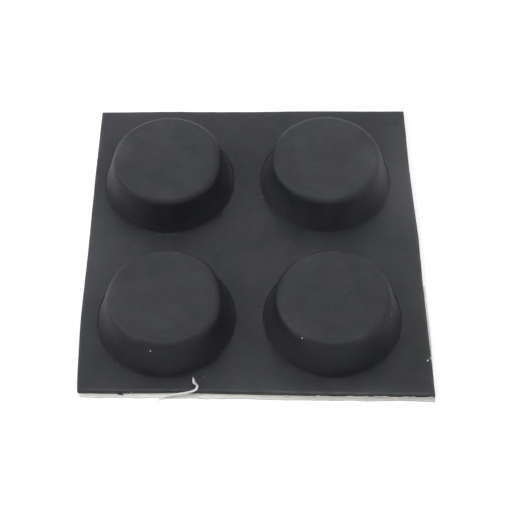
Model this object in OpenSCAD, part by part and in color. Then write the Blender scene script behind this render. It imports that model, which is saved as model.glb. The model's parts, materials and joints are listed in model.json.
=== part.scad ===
// Sheet of four self-adhesive rubber feet.
// Tapered feet are moulded on a thin rubber web and cut free of it by one ring each.
// Feet and web keep their own adhesive and sit on one uncut release liner.
// Millimetres, +Z up. The origin is the centre of the four feet, on the liner's underside.
// +X points right and +Y points to the rear of the sheet.

/* [Feet] */
// Diameter of a foot where its taper meets the web
foot_base_d = 20.8; // [17:0.1:22]
// Diameter at which the line of the taper meets the top face
foot_top_d = 17.3; // [13:0.1:19]
// Height of a foot above the web
foot_h = 6.2; // [4:0.1:9]
// Radius of the round between the side and the top face
top_round_r = 1; // [0.4:0.1:2.4]
// Distance between the axes of the left and the right feet
foot_pitch_x = 25.2; // [23:0.1:32]
// Distance between the axes of the front and the rear feet
foot_pitch_y = 26.2; // [23:0.1:32]

// Shift of the rear left foot off the even grid, to the right and to the rear
shift_rear_left = [0, 0.1]; // [-0.4:0.05:0.4]
// Shift of the rear right foot off the even grid, to the right and to the rear
shift_rear_right = [0.15, 0.05]; // [-0.4:0.05:0.4]
// Shift of the front left foot off the even grid, to the right and to the rear
shift_front_left = [0.2, 0]; // [-0.4:0.05:0.4]
// Shift of the front right foot off the even grid, to the right and to the rear
shift_front_right = [0.3, -0.2]; // [-0.4:0.05:0.4]

/* [Cut rings] */
// Width of the web that stays on a foot around its base
flange_w = 0.1; // [0.05:0.05:1.2]
// Width of the open groove that the cutting die leaves
cut_gap = 0.05; // [0.02:0.01:0.3]

/* [Layers] */
// Thickness of the rubber web and of the flange on each foot
web_t = 0.7; // [0.4:0.05:1.5]
// Thickness of the adhesive
adhesive_t = 0.1; // [0.05:0.01:0.3]
// Thickness of the paper release liner
liner_t = 0.15; // [0.06:0.01:0.4]

/* [Sheet outline] */
// Web left of the left rings at the rear corner
left_margin_rear = 1.3; // [0.8:0.05:6]
// Web left of the left rings at the front corner
left_margin_front = 2.2; // [0.8:0.05:6]
// Web right of the right rings at the rear corner
right_margin_rear = 3.45; // [0.8:0.05:8]
// Web right of the right rings at the front corner
right_margin_front = 4.45; // [0.8:0.05:8]
// Web behind the rear rings at the left corner
rear_margin_left = 4.4; // [0.8:0.05:8]
// Web behind the rear rings at the right corner
rear_margin_right = 4.2; // [0.8:0.05:8]
// Web before the front rings at the left corner
front_margin_left = 2; // [0.8:0.05:8]
// Web before the front rings at the right corner
front_margin_right = 3.2; // [0.8:0.05:8]
// Outward bulge of the left edge, near its front end
left_bow = 0.75; // [0:0.05:1.5]
// Radius of the sheet's corners
corner_r = 0.15; // [0.1:0.05:1]
// Distance of the nick in the right edge from the front corner
nick_from_front = 6.5; // [2:0.5:16]
// Diameter of the nick in the right edge
nick_d = 0.8; // [0.2:0.1:1]

/* [Release liner] */
// Liner that shows before the web's front edge
liner_front = 0.6; // [0.1:0.05:2]
// Liner that shows right of the web, at the middle of its bare stretch
liner_right = 0.4; // [0.1:0.05:1.5]
// Length of the bare stretch of liner along the right edge
liner_right_l = 19.8; // [6:0.5:30]
// Distance that the liner's other edges stay inside the web's edges
liner_inset = 0.3; // [0.1:0.05:0.8]

/* [Edge sliver] */
// Width of the curled sliver of liner at the front edge
sliver_w = 0.34; // [0.2:0.02:0.5]
// Thickness of the curled sliver
sliver_t = 0.2; // [0.1:0.02:0.3]
// Distance of the sliver's tip from the front left corner of the web
sliver_from_left = 17.2; // [8:0.1:40]
// Length of the sliver along the front edge, from its tail to its tip
sliver_run = 5.3; // [3:0.1:7]
// Distance that the sliver's tip lies behind the web's front edge
sliver_reach = 1.7; // [0.8:0.1:2]
// Height of the sliver's tip above the web
sliver_rise = 1.6; // [0.6:0.1:4]

/* [Hidden] */

rubber = "#434548";
web_rubber = "#454449";
tacky = "#c8c3b2";
paper = "#e6e6e2";

adhesive_z = liner_t;
web_z = adhesive_z + adhesive_t;
web_top_z = web_z + web_t;

base_r = foot_base_d / 2;
top_r = foot_top_d / 2;
flange_r = base_r + flange_w;
ring_r = flange_r + cut_gap;

rear_left = [-foot_pitch_x, foot_pitch_y] / 2 + shift_rear_left;
rear_right = [foot_pitch_x, foot_pitch_y] / 2 + shift_rear_right;
front_left = [-foot_pitch_x, -foot_pitch_y] / 2 + shift_front_left;
front_right = [foot_pitch_x, -foot_pitch_y] / 2 + shift_front_right;

// Corners of the web, from the outermost reach of evenly placed rings
reach_x = foot_pitch_x / 2 + ring_r;
reach_y = foot_pitch_y / 2 + ring_r;
corner_rear_left = [-reach_x - left_margin_rear, reach_y + rear_margin_left];
corner_front_left = [-reach_x - left_margin_front, -reach_y - front_margin_left];
corner_front_right = [reach_x + right_margin_front, -reach_y - front_margin_right];
corner_rear_right = [reach_x + right_margin_rear, reach_y + rear_margin_right];

// The left edge bulges most at this share of its length from the rear
bow_at = 0.85;
bow_steps = 12;
corner_steps = 4;
round_fn = 128;

// Point at share t of a curve that leaves a towards b and arrives at c
function curve(a, b, c, t) = a * (1 - t) * (1 - t) + b * 2 * t * (1 - t) + c * t * t;

// Unit vector from a to b
function towards(a, b) = (b - a) / norm(b - a);

// Points of a rounded corner at p, between its neighbours a and b
function corner(a, p, b, r) = [
    for (i = [0 : corner_steps])
        curve(p + towards(p, a) * r, p, p + towards(p, b) * r, i / corner_steps)
];

// Points of the bulging left edge between its two corners, taken from the rear
function left_edge(from, to) = [
    for (i = [1 : bow_steps - 1])
        curve(from, from + (to - from) * bow_at - [left_bow, 0], to, i / bow_steps)
];

web_left = left_edge(corner_rear_left, corner_front_left);
web_outline = concat(
    corner(corner_rear_right, corner_rear_left, web_left[0], corner_r),
    web_left,
    corner(web_left[bow_steps - 2], corner_front_left, corner_front_right, corner_r),
    corner(corner_front_left, corner_front_right, corner_rear_right, corner_r),
    corner(corner_front_right, corner_rear_right, corner_rear_left, corner_r)
);

// Point on the right edge of the web at a distance from its front corner
function right_edge(from_front) = corner_front_right
    + towards(corner_front_right, corner_rear_right) * from_front;

// The liner keeps inside the web at the rear and the left, and shows at the front and the right
liner_rear_left = corner_rear_left + [liner_inset, -liner_inset];
liner_front_left = corner_front_left + [liner_inset, -liner_front];
liner_front_right = corner_front_right + [0, -liner_front];
liner_rear_right = corner_rear_right - [liner_inset, liner_inset];
liner_step = right_edge(liner_right_l);
liner_bare = right_edge(liner_right_l / 2);
liner_outline = concat(
    [liner_rear_left],
    left_edge(liner_rear_left, liner_front_left),
    corner(liner_rear_left, liner_front_left, liner_front_right, corner_r),
    corner(liner_front_left, liner_front_right, liner_bare, corner_r),
    [liner_bare + [liner_right, 0], liner_step + [liner_right, 0], liner_step - [liner_inset, 0]],
    [liner_rear_right]
);

// A foot: tapered plug with a rounded top edge, on its narrow cut flange
module foot(at) {
    lean = atan((base_r - top_r) / foot_h);
    inset = top_round_r * tan((90 - lean) / 2);
    round_at = [top_r - inset, foot_h - top_round_r];
    side_end = round_at + top_round_r * [cos(lean), sin(lean)];
    translate([at.x, at.y, web_top_z])
        rotate_extrude($fn = round_fn)
            union() {
                polygon([[0, -web_t / 2], [base_r, -web_t / 2], [base_r, 0], side_end,
                    [round_at.x, foot_h], [0, foot_h]]);
                translate(round_at)
                    circle(r = top_round_r, $fn = 48);
            }
    translate([at.x, at.y, web_z])
        cylinder(r = flange_r, h = web_t, $fn = round_fn);
}

// The four holes that the cutting die leaves in a layer of the sheet
module ring_holes(z, t) {
    for (at = [rear_left, rear_right, front_left, front_right])
        translate([at.x, at.y, z - t])
            cylinder(r = ring_r, h = 3 * t, $fn = round_fn);
}

// A layer of the sheet around the feet, with the nick in its right edge
module sheet_layer(z, t) {
    nick = right_edge(nick_from_front);
    difference() {
        translate([0, 0, z])
            linear_extrude(t)
                polygon(web_outline);
        ring_holes(z, t);
        translate([nick.x + nick_d / 4, nick.y, z - t])
            cylinder(d = nick_d, h = 3 * t, $fn = 32);
    }
}

// Disc of adhesive under one foot, as wide as its flange
module adhesive_disc(at) {
    color(tacky)
        translate([at.x, at.y, adhesive_z])
            cylinder(r = flange_r, h = adhesive_t, $fn = round_fn);
}

module foot_rear_left() {
    color(rubber)
        foot(rear_left);
}

module foot_rear_right() {
    color(rubber)
        foot(rear_right);
}

module foot_front_left() {
    color(rubber)
        foot(front_left);
}

module foot_front_right() {
    color(rubber)
        foot(front_right);
}

module web_sheet() {
    color(web_rubber)
        sheet_layer(web_z, web_t);
}

module adhesive_rear_left() {
    adhesive_disc(rear_left);
}

module adhesive_rear_right() {
    adhesive_disc(rear_right);
}

module adhesive_front_left() {
    adhesive_disc(front_left);
}

module adhesive_front_right() {
    adhesive_disc(front_right);
}

module web_adhesive() {
    color(tacky)
        sheet_layer(adhesive_z, adhesive_t);
}

module release_liner() {
    color(paper)
        linear_extrude(liner_t)
            polygon(liner_outline);
}

// The sliver lies on the surface before the liner, rests on the liner's edge, climbs the web's
// front edge and curls back over the web
sliver_place = corner_front_left
    + (corner_front_right - corner_front_left) * sliver_from_left
    / (corner_front_right.x - corner_front_left.x);
lie = sliver_t / 2;
on_liner = liner_t + lie;
free = sliver_t;

// Route of the sliver from its tail to its tip. x runs along the front edge, y goes to the rear
// and z is the height above the surface that the sheet lies on.
sliver_route = [
    [-sliver_run, -liner_front - 1.2 * free, lie],
    [-0.92 * sliver_run, -liner_front - 0.6 * free, on_liner],
    [-0.78 * sliver_run, -liner_front + free, on_liner + 0.6 * free],
    [-0.49 * sliver_run, -1.1 * free, on_liner + 0.75 * (web_top_z - on_liner)],
    [-0.2 * sliver_run, -0.8 * free, web_top_z + 0.6 * free],
    [0.03 * sliver_run, 0.12 * sliver_reach, web_top_z + free],
    [0.12 * sliver_run, 0.39 * sliver_reach, web_top_z + free + 0.12 * sliver_rise],
    [0.08 * sliver_run, 0.59 * sliver_reach, web_top_z + free + 0.33 * sliver_rise],
    [0.02 * sliver_run, 0.7 * sliver_reach, web_top_z + free + 0.52 * sliver_rise],
    [0, sliver_reach, web_top_z + sliver_rise]
];
// Width of the sliver at each point of its route, as a share of sliver_w
sliver_swell = [0.4, 0.6, 0.8, 0.9, 0.9, 1, 1.2, 1.4, 1.7, 0.25];
sliver_sides = 8;
sliver_parts = 4;

// Smooth value at share t between the second and the third of four values
function blend(a, b, c, d, t) = b + t * (c - a) / 2
    + t * t * (a - 2.5 * b + 2 * c - d / 2)
    + t * t * t * (1.5 * (b - c) + (d - a) / 2);

function held(list, i) = list[max(0, min(len(list) - 1, i))];

function smooth(list, i, t) =
    blend(held(list, i - 1), held(list, i), held(list, i + 1), held(list, i + 2), t);

function refined(list) = [
    for (i = [0 : len(list) - 2], part = [0 : sliver_parts - 1]) smooth(list, i, part / sliver_parts),
    list[len(list) - 1]
];

// Sliver of liner that curls up at the front edge, swept as a flattened tube
module edge_sliver() {
    path = refined(sliver_route);
    swell = refined(sliver_swell);
    last = len(path) - 1;
    points = [
        for (i = [0 : last])
            let (
                along = towards(path[max(0, i - 1)], path[min(last, i + 1)]),
                side = towards([0, 0, 0], cross([0, 0, 1], along)),
                over = cross(along, side)
            )
            for (k = [0 : sliver_sides - 1])
                path[i] + side * cos(k * 360 / sliver_sides) * swell[i] * sliver_w / 2
                    + over * sin(k * 360 / sliver_sides) * sliver_t / 2
    ];
    walls = [
        for (i = [0 : last - 1], k = [0 : sliver_sides - 1])
            let (next = (k + 1) % sliver_sides)
            [i * sliver_sides + k, (i + 1) * sliver_sides + k,
                (i + 1) * sliver_sides + next, i * sliver_sides + next]
    ];
    start_cap = [for (k = [0 : sliver_sides - 1]) k];
    end_cap = [for (k = [sliver_sides - 1 : -1 : 0]) last * sliver_sides + k];
    color(paper)
        translate([sliver_place.x, sliver_place.y, 0])
            polyhedron(points, concat([start_cap, end_cap], walls));
}

foot_rear_left();
foot_rear_right();
foot_front_left();
foot_front_right();
web_sheet();
adhesive_rear_left();
adhesive_rear_right();
adhesive_front_left();
adhesive_front_right();
web_adhesive();
release_liner();
edge_sliver();
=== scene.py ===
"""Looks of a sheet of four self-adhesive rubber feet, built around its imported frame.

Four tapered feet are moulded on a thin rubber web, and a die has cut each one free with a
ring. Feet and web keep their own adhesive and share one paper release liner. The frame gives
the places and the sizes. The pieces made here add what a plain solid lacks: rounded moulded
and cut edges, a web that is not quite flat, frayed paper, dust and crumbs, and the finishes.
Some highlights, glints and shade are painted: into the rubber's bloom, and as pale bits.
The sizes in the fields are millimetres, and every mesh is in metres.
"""

from __future__ import annotations

import json
import logging
import math
from abc import ABC, abstractmethod
from collections.abc import Callable, Iterable, Sequence
from dataclasses import dataclass, field, replace
from enum import Enum
from functools import partial
from typing import Any, TypeVar

import bmesh
import bpy
import numpy as np
from bpy.types import ID, Material, Mesh, Node, NodeSocket, NodeTree, Object
from mathutils import Matrix, Vector, noise
from mathutils.geometry import delaunay_2d_cdt

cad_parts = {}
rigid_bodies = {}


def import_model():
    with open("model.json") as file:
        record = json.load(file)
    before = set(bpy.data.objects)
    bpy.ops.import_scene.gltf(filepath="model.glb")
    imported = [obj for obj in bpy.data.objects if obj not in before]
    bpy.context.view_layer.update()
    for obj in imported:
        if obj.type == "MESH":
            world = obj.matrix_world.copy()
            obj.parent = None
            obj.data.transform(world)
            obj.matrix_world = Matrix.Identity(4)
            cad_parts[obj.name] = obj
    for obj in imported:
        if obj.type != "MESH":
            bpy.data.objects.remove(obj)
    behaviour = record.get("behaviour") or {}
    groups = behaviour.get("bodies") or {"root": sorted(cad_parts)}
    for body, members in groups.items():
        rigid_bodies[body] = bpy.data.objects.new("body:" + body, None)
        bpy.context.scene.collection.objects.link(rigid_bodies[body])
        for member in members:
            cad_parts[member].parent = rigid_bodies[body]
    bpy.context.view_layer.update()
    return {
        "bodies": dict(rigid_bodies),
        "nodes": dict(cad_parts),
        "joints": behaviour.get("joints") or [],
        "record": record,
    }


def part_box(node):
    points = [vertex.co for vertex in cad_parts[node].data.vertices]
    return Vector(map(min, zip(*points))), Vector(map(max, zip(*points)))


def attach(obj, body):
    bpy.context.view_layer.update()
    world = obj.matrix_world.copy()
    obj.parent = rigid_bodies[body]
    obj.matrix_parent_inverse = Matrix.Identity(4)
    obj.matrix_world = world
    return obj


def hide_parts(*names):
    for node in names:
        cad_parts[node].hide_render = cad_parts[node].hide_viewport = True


LOG = logging.getLogger("rubber_feet")
MM = 0.001
WELD = 0.0005 * MM
BODY = "root"
# Point attribute of bloom on the rubber, which also holds painted highlights and painted shade;
# on the paper it says where the paper is greyer
BLOOM_AND_LIGHT = "bloom"
WALL = "wall"

Feeds = dict[int | str, Any]
Adder = Callable[..., Node]
Profile = tuple[tuple[float, float], ...]
Item = TypeVar("Item")


class Slot(Enum):
    """Material slots of the part's record."""

    FOOT = "foot_rubber"
    WEB = "web_rubber"
    ADHESIVE = "adhesive"
    PAPER = "liner_paper"


class Place(Enum):
    """Places of the four feet on the sheet."""

    REAR_LEFT = "rear_left"
    REAR_RIGHT = "rear_right"
    FRONT_LEFT = "front_left"
    FRONT_RIGHT = "front_right"


# ---------------------------------------------------------------- small helpers


def rows(kind: Callable[..., Item], *values: tuple[float, ...]) -> tuple[Item, ...]:
    """Make one item from each row of values.

    Args:
        kind: Class of the items.
        values: Values of the fields of each item, in their order.

    Returns:
        The items.
    """
    return tuple(kind(*row) for row in values)


def linear(colour: str) -> tuple[float, float, float, float]:
    """Turn an sRGB hex colour into linear light.

    Args:
        colour: Colour as "#rrggbb".

    Returns:
        Linear red, green and blue, and an alpha of one.
    """
    shares = [int(colour[i : i + 2], 16) / 255 for i in (1, 3, 5)]
    red, green, blue = (c / 12.92 if c <= 0.04045 else ((c + 0.055) / 1.055) ** 2.4 for c in shares)
    return red, green, blue, 1.0


def feed(node: Node, feeds: Feeds) -> None:
    """Set or link inputs of a node.

    Args:
        node: The node.
        feeds: Input name or number, with a value, the socket to link, or the node whose first
            output in use is linked.
    """
    for key, value in feeds.items():
        if isinstance(value, Node):
            value = next(socket for socket in value.outputs if socket.enabled)
        if isinstance(value, NodeSocket):
            node.id_data.links.new(value, node.inputs[key])
        else:
            node.inputs[key].default_value = value


def add_node(tree: NodeTree, kind: str, feeds: Feeds | None = None, **settings: Any) -> Node:
    """Add a node with its settings and links.

    Args:
        tree: Tree that gets the node.
        kind: Blender's name of the node type.
        feeds: What its inputs get, as feed takes it.
        settings: Properties of the node.

    Returns:
        The new node.
    """
    node = tree.nodes.new(kind)
    for name, value in settings.items():
        setattr(node, name, value)
    feed(node, feeds or {})
    return node


def put(name: str, data: ID) -> Object:
    """Add an object to the scene, at the origin.

    Args:
        name: Name of the object.
        data: Its mesh, curve, lamp or camera.

    Returns:
        The new object.
    """
    item = bpy.data.objects.new(name, data)
    bpy.context.scene.collection.objects.link(item)
    return item


def finished(name: str, mesh: Mesh, shape: bmesh.types.BMesh, material: Material) -> Object:
    """Turn a shape into a smooth piece.

    Args:
        name: Name of the piece.
        mesh: Mesh that gets the shape.
        shape: The shape, which is used up.
        material: Finish of the piece.

    Returns:
        The piece.
    """
    for face in shape.faces:
        face.smooth = True
    shape.to_mesh(mesh)
    shape.free()
    mesh.materials.append(material)
    return put(name, mesh)


def mesh_piece(
    name: str,
    points: Sequence[Sequence[float]],
    faces: Iterable[Sequence[int]],
    material: Material,
) -> Object:
    """Make a closed, smooth piece with its normals outward.

    Args:
        name: Name of the piece.
        points: Corners in millimetres.
        faces: Corner numbers of each face.
        material: Finish of the piece.

    Returns:
        The piece.
    """
    mesh = bpy.data.meshes.new(name)
    mesh.from_pydata([[c * MM for c in point] for point in points], [], list(faces))
    shape = bmesh.new()
    shape.from_mesh(mesh)
    bmesh.ops.remove_doubles(shape, verts=shape.verts, dist=WELD)
    bmesh.ops.recalc_face_normals(shape, faces=shape.faces)
    return finished(name, mesh, shape, material)


def enlist(piece: Object, slot: Slot, *nodes: str) -> None:
    """Hand a finished piece to the frame.

    Args:
        piece: The piece.
        slot: Material slot of the piece in the part's record; not used.
        nodes: Nodes that it stands for.
    """
    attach(piece, BODY)
    if nodes:
        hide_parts(*nodes)
    stands_for = ", ".join(nodes) or "no node"
    LOG.info("%s: %d faces, for %s", piece.name, len(piece.data.polygons), stands_for)


def box_mm(node: str) -> tuple[np.ndarray, np.ndarray]:
    """Give a node's lowest and highest corners in millimetres."""
    low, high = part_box(node)
    return np.array(low) / MM, np.array(high) / MM


def values_of(items: bpy.types.bpy_prop_collection, name: str, width: int = 3) -> np.ndarray:
    """Read one property of every item.

    Args:
        items: The items.
        name: Name of the property.
        width: Numbers in it.

    Returns:
        One row for each item.
    """
    numbers = np.empty(len(items) * width)
    items.foreach_get(name, numbers)
    return numbers.reshape(-1, width)


@dataclass(frozen=True)
class Spot:
    """Place on the sheet.

    Attributes:
        x: Distance to the right.
        y: Distance to the rear.
    """

    x: float
    y: float

    def gaps(self, x: np.ndarray, y: np.ndarray) -> np.ndarray:
        """Give how far some places lie from it."""
        return np.hypot(x - self.x, y - self.y)


@dataclass(frozen=True)
class Wander:
    """Smooth, seeded swing of a size from place to place.

    Attributes:
        size: About how far it swings to either side.
        wave: Distance over which it swings.
        seed: Seed of the swing.
    """

    size: float
    wave: float
    seed: float

    def at(self, x: float, y: float) -> float:
        """Give the swing at a place."""
        return self.size * noise.noise(Vector((x / self.wave, y / self.wave, self.seed)))


# ---------------------------------------------------------------- bloom and painted light


# On the rubber most patches paint highlights (share above zero) or shade (share below zero),
# and some add bloom; on the paper they lay its grey tinge
@dataclass(frozen=True)
class LightAndBloomPatch(Spot):
    """Round patch with more of the bloom attribute, or less where its share is below zero.

    Attributes:
        reach: Distance over which it fades.
        share: Share of bloom and painted light at its middle, below zero for painted shade.
    """

    reach: float
    share: float

    def at(self, x: np.ndarray, y: np.ndarray) -> np.ndarray:
        """Give the share of bloom and painted light at some places."""
        return self.share * np.exp(-((self.gaps(x, y) / self.reach) ** 2))


# The pale line and veil along the web's cut edge are a painted highlight, mixed with bloom
@dataclass(frozen=True)
class BloomAndHighlightRim:
    """Thin, broken pale line and an even pale veil beside a cut edge: painted highlight of the
    rounded edge, with bloom.

    Attributes:
        inset: Distance of the line from the edge.
        width: Half its width.
        share: Share of bloom and painted highlight on it.
        veil: Share of the even painted highlight that lies along the edge.
        veil_reach: Distance from the edge over which that painted highlight fades.
        patches: Places where the painted highlight is stronger, each with its part of the
            share on top.
        breaks: How the line comes and goes, as a part of its share.
        drift: How the line wanders, as a part of its inset.
    """

    inset: float
    width: float
    share: float
    veil: float
    veil_reach: float
    patches: tuple[LightAndBloomPatch, ...] = ()
    breaks: Wander = Wander(1.8, 1.8, 2.0)
    drift: Wander = Wander(0.5, 5.0, 3.0)

    def at(self, x: np.ndarray, y: np.ndarray, edge: np.ndarray) -> np.ndarray:
        """Give the share of bloom and painted highlight at some places.

        Args:
            x: Distances to the right.
            y: Distances to the rear.
            edge: Points of the cut edge.

        Returns:
            The shares.
        """
        gaps = np.min(np.hypot(x[:, None] - edge[:, 0], y[:, None] - edge[:, 1]), axis=1)
        more = 1 + sum(patch.at(x, y) for patch in self.patches)
        broken = np.array([max(0.0, 1 + self.breaks.at(a, b)) for a, b in zip(x, y)])
        inset = self.inset * (1 + np.array([self.drift.at(a, b) for a, b in zip(x, y)]))
        line = self.share * broken * np.exp(-(((gaps - inset) / self.width) ** 2))
        return more * (line + self.veil * np.exp(-gaps / self.veil_reach))


def lay_bloom_and_light(
    piece: Object,
    patches: Iterable[LightAndBloomPatch],
    rim: BloomAndHighlightRim | None = None,
    edge: np.ndarray | None = None,
) -> None:
    """Write the share of bloom and painted light on each point of a piece.

    Args:
        piece: The piece.
        patches: Patches of bloom, painted highlight and painted shade.
        rim: Painted highlight and bloom beside a cut edge.
        edge: Points of that edge.
    """
    x, y, _ = values_of(piece.data.vertices, "co").T / MM
    shares = sum((patch.at(x, y) for patch in patches), np.zeros(len(x)))
    if rim and edge is not None:
        shares = shares + rim.at(x, y, edge)
    piece.data.attributes.new(BLOOM_AND_LIGHT, "FLOAT", "POINT").data.foreach_set("value", shares)


def mark_walls(piece: Object, low_wall_lightening: float, high_wall_darkening: float, steepness: float = 1.4) -> None:
    """Write which points of a piece lie on a wall, and paint shading on the walls.

    Walls get one and level faces zero. The bloom attribute is raised towards the foot of the
    walls and lowered towards their top: painted shading that lightens the walls low down and
    darkens them high up.

    Args:
        piece: The piece.
        low_wall_lightening: Share that is added at the foot of the walls, painted light.
        high_wall_darkening: Share that is taken away at the top of the walls, painted shade.
        steepness: How soon a slope counts as a wall.
    """
    mesh = piece.data
    upward = values_of(mesh.vertex_normals, "vector")[:, 2]
    walls = np.clip(steepness * (1 - np.abs(upward)), 0.0, 1.0)
    mesh.attributes.new(WALL, "FLOAT", "POINT").data.foreach_set("value", walls)
    heights = values_of(mesh.vertices, "co")[:, 2]
    rise = (heights - heights.min()) / np.ptp(heights)
    bloom = mesh.attributes[BLOOM_AND_LIGHT].data
    # Painted shading: walls lighter at their foot, darker at their top
    shift = walls * (low_wall_lightening * (1 - rise) - high_wall_darkening * rise)
    bloom.foreach_set("value", values_of(bloom, "value", 1)[:, 0] + shift)


# ---------------------------------------------------------------- finishes


@dataclass(frozen=True)
class Finish(ABC):
    """What all finishes share.

    Attributes:
        name: Name of the material.
    """

    name: str

    @abstractmethod
    def shade(self, add: Adder, place: Node) -> Node:
        """Add the nodes of the finish.

        Args:
            add: Adds a node to the material.
            place: Node that gives Object coordinates in millimetres.

        Returns:
            The shader.
        """

    def build(self) -> Material:
        """Make the material.

        Returns:
            The material.
        """
        material = bpy.data.materials.new(self.name)
        material.use_nodes = True
        material.node_tree.nodes.clear()
        add = partial(add_node, material.node_tree)
        own = add("ShaderNodeTexCoord").outputs["Object"]
        place = add("ShaderNodeMapping", {"Vector": own, "Scale": (1 / MM,) * 3})
        add("ShaderNodeOutputMaterial", {"Surface": self.shade(add, place)})
        return material


@dataclass(frozen=True)
class SolidFinish(Finish):
    """Finish of a solid surface with a fine relief.

    Attributes:
        roughness: Roughness of the surface.
        gloss_index: Refractive index, which says how much it mirrors.
        relief_depth: Depth of the relief.
        relief_strength: How strongly the relief shows.
    """

    roughness: float = 0.5
    gloss_index: float = 1.45
    relief_depth: float = 0.0
    relief_strength: float = 1.0

    @abstractmethod
    def surface(self, add: Adder, place: Node) -> Feeds:
        """Add the nodes that tell one surface from another.

        Args:
            add: Adds a node to the material.
            place: Node that gives Object coordinates in millimetres.

        Returns:
            What the shader's inputs get, with the height of a relief under "Height".
        """

    def shade(self, add: Adder, place: Node) -> Node:
        """Add the nodes of the finish.

        Args:
            add: Adds a node to the material.
            place: Node that gives Object coordinates in millimetres.

        Returns:
            The shader.
        """
        feeds = {"Roughness": self.roughness, "IOR": self.gloss_index}
        feeds |= self.surface(add, place)
        if "Height" in feeds:
            relief = {"Strength": self.relief_strength, "Distance": self.relief_depth * MM}
            relief["Height"] = feeds.pop("Height")
            feeds["Normal"] = add("ShaderNodeBump", relief)
        return add("ShaderNodeBsdfPrincipled", feeds)


@dataclass(frozen=True)
class MouldedRubber(SolidFinish):
    """Black rubber pressed in a blasted steel mould.

    To the eye it is a dark, cool grey that scatters more light than it mirrors, with a fine
    tooth, cloudy bloom, faint smears where it was rubbed, and a hue that drifts a little between
    violet and green. The walls are duller, because they drag on the mould, and lean to violet.
    Highlights and shade are painted in as more or less of the bloom colour, in patches, along
    cut edges and down the walls.
    """

    colour: str = "#1a2021"
    other: str = "#201e25"
    # Colour of the bloom, which is also the colour of the painted highlights
    bloom: str = "#5e5f64"
    bloom_share: float = 0.08
    cloud: float = 5.0
    hue_drift: float = 4.0
    wall_hue: float = 0.1
    smear_length: float = 1.6
    smear_width: float = 0.4
    smear_share: float = 0.08
    grain: float = 0.5
    relief_depth: float = 0.02
    roughness_swing: float = 0.08
    wall_roughness: float = 0.04
    gloss_index: float = 1.33

    def bloom_and_light_share(self, add: Adder, place: Node) -> Node:
        """Add the nodes that say how much bloom and painted light lies on a spot.

        Args:
            add: Adds a node to the material.
            place: Node that gives Object coordinates in millimetres.

        Returns:
            The node that gives the share of bloom and painted light.
        """
        drawn = (1 / self.smear_length, 1 / self.smear_width, 1.0)
        rubbed = add("ShaderNodeMapping", {"Vector": place, "Scale": drawn})
        clouds = {"Vector": place, "Scale": 1 / self.cloud, "Detail": 6.0, "Roughness": 0.72}
        smears = {"Vector": rubbed, "Scale": 1.0, "Detail": 2.0, "Distortion": 1.2}
        shares = []
        for pattern, low, high, most in (
            (clouds, 0.3, 0.7, 2 * self.bloom_share),
            (smears, 0.6, 0.8, self.smear_share),
        ):
            blots = add("ShaderNodeTexNoise", pattern)
            reach = {"Value": blots, "From Min": low, "From Max": high, "To Max": most}
            shares.append(add("ShaderNodeMapRange", reach))
        both = add("ShaderNodeMath", dict(enumerate(shares)), operation="ADD")
        # The attribute adds bloom, painted highlights and painted shade
        laid = add("ShaderNodeAttribute", attribute_name=BLOOM_AND_LIGHT).outputs["Fac"]
        return add("ShaderNodeMath", {0: both, 1: laid}, operation="ADD", use_clamp=True)

    def surface(self, add: Adder, place: Node) -> Feeds:
        """Add the nodes of the rubber.

        Args:
            add: Adds a node to the material.
            place: Node that gives Object coordinates in millimetres.

        Returns:
            What the shader's inputs get.
        """
        wall = add("ShaderNodeAttribute", attribute_name=WALL).outputs["Fac"]
        drift = add(
            "ShaderNodeTexNoise",
            {"Vector": place, "Scale": 1 / self.hue_drift, "Detail": 2.0},
        )
        leaning = add(
            "ShaderNodeMath", {0: wall, 1: self.wall_hue, 2: drift}, operation="MULTIPLY_ADD"
        )
        side = add("ShaderNodeMapRange", {"Value": leaning, "From Min": 0.4, "From Max": 0.6})
        hues = {0: side, 6: linear(self.colour), 7: linear(self.other)}
        base = add("ShaderNodeMix", hues, data_type="RGBA")
        tones = {0: self.bloom_and_light_share(add, place), 6: base, 7: linear(self.bloom)}
        tooth = add(
            "ShaderNodeTexNoise",
            {"Vector": place, "Scale": 1 / self.grain, "Detail": 3.0, "Roughness": 0.6},
        )
        matt = add(
            "ShaderNodeMapRange",
            {
                "Value": tooth,
                "From Min": 0.3,
                "From Max": 0.7,
                "To Min": self.roughness - self.roughness_swing,
                "To Max": self.roughness + self.roughness_swing,
            },
        )
        dragged = {0: wall, 1: self.wall_roughness, 2: matt}
        return {
            "Base Color": add("ShaderNodeMix", tones, data_type="RGBA"),
            "Roughness": add("ShaderNodeMath", dragged, operation="MULTIPLY_ADD"),
            "Height": tooth,
        }


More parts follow.
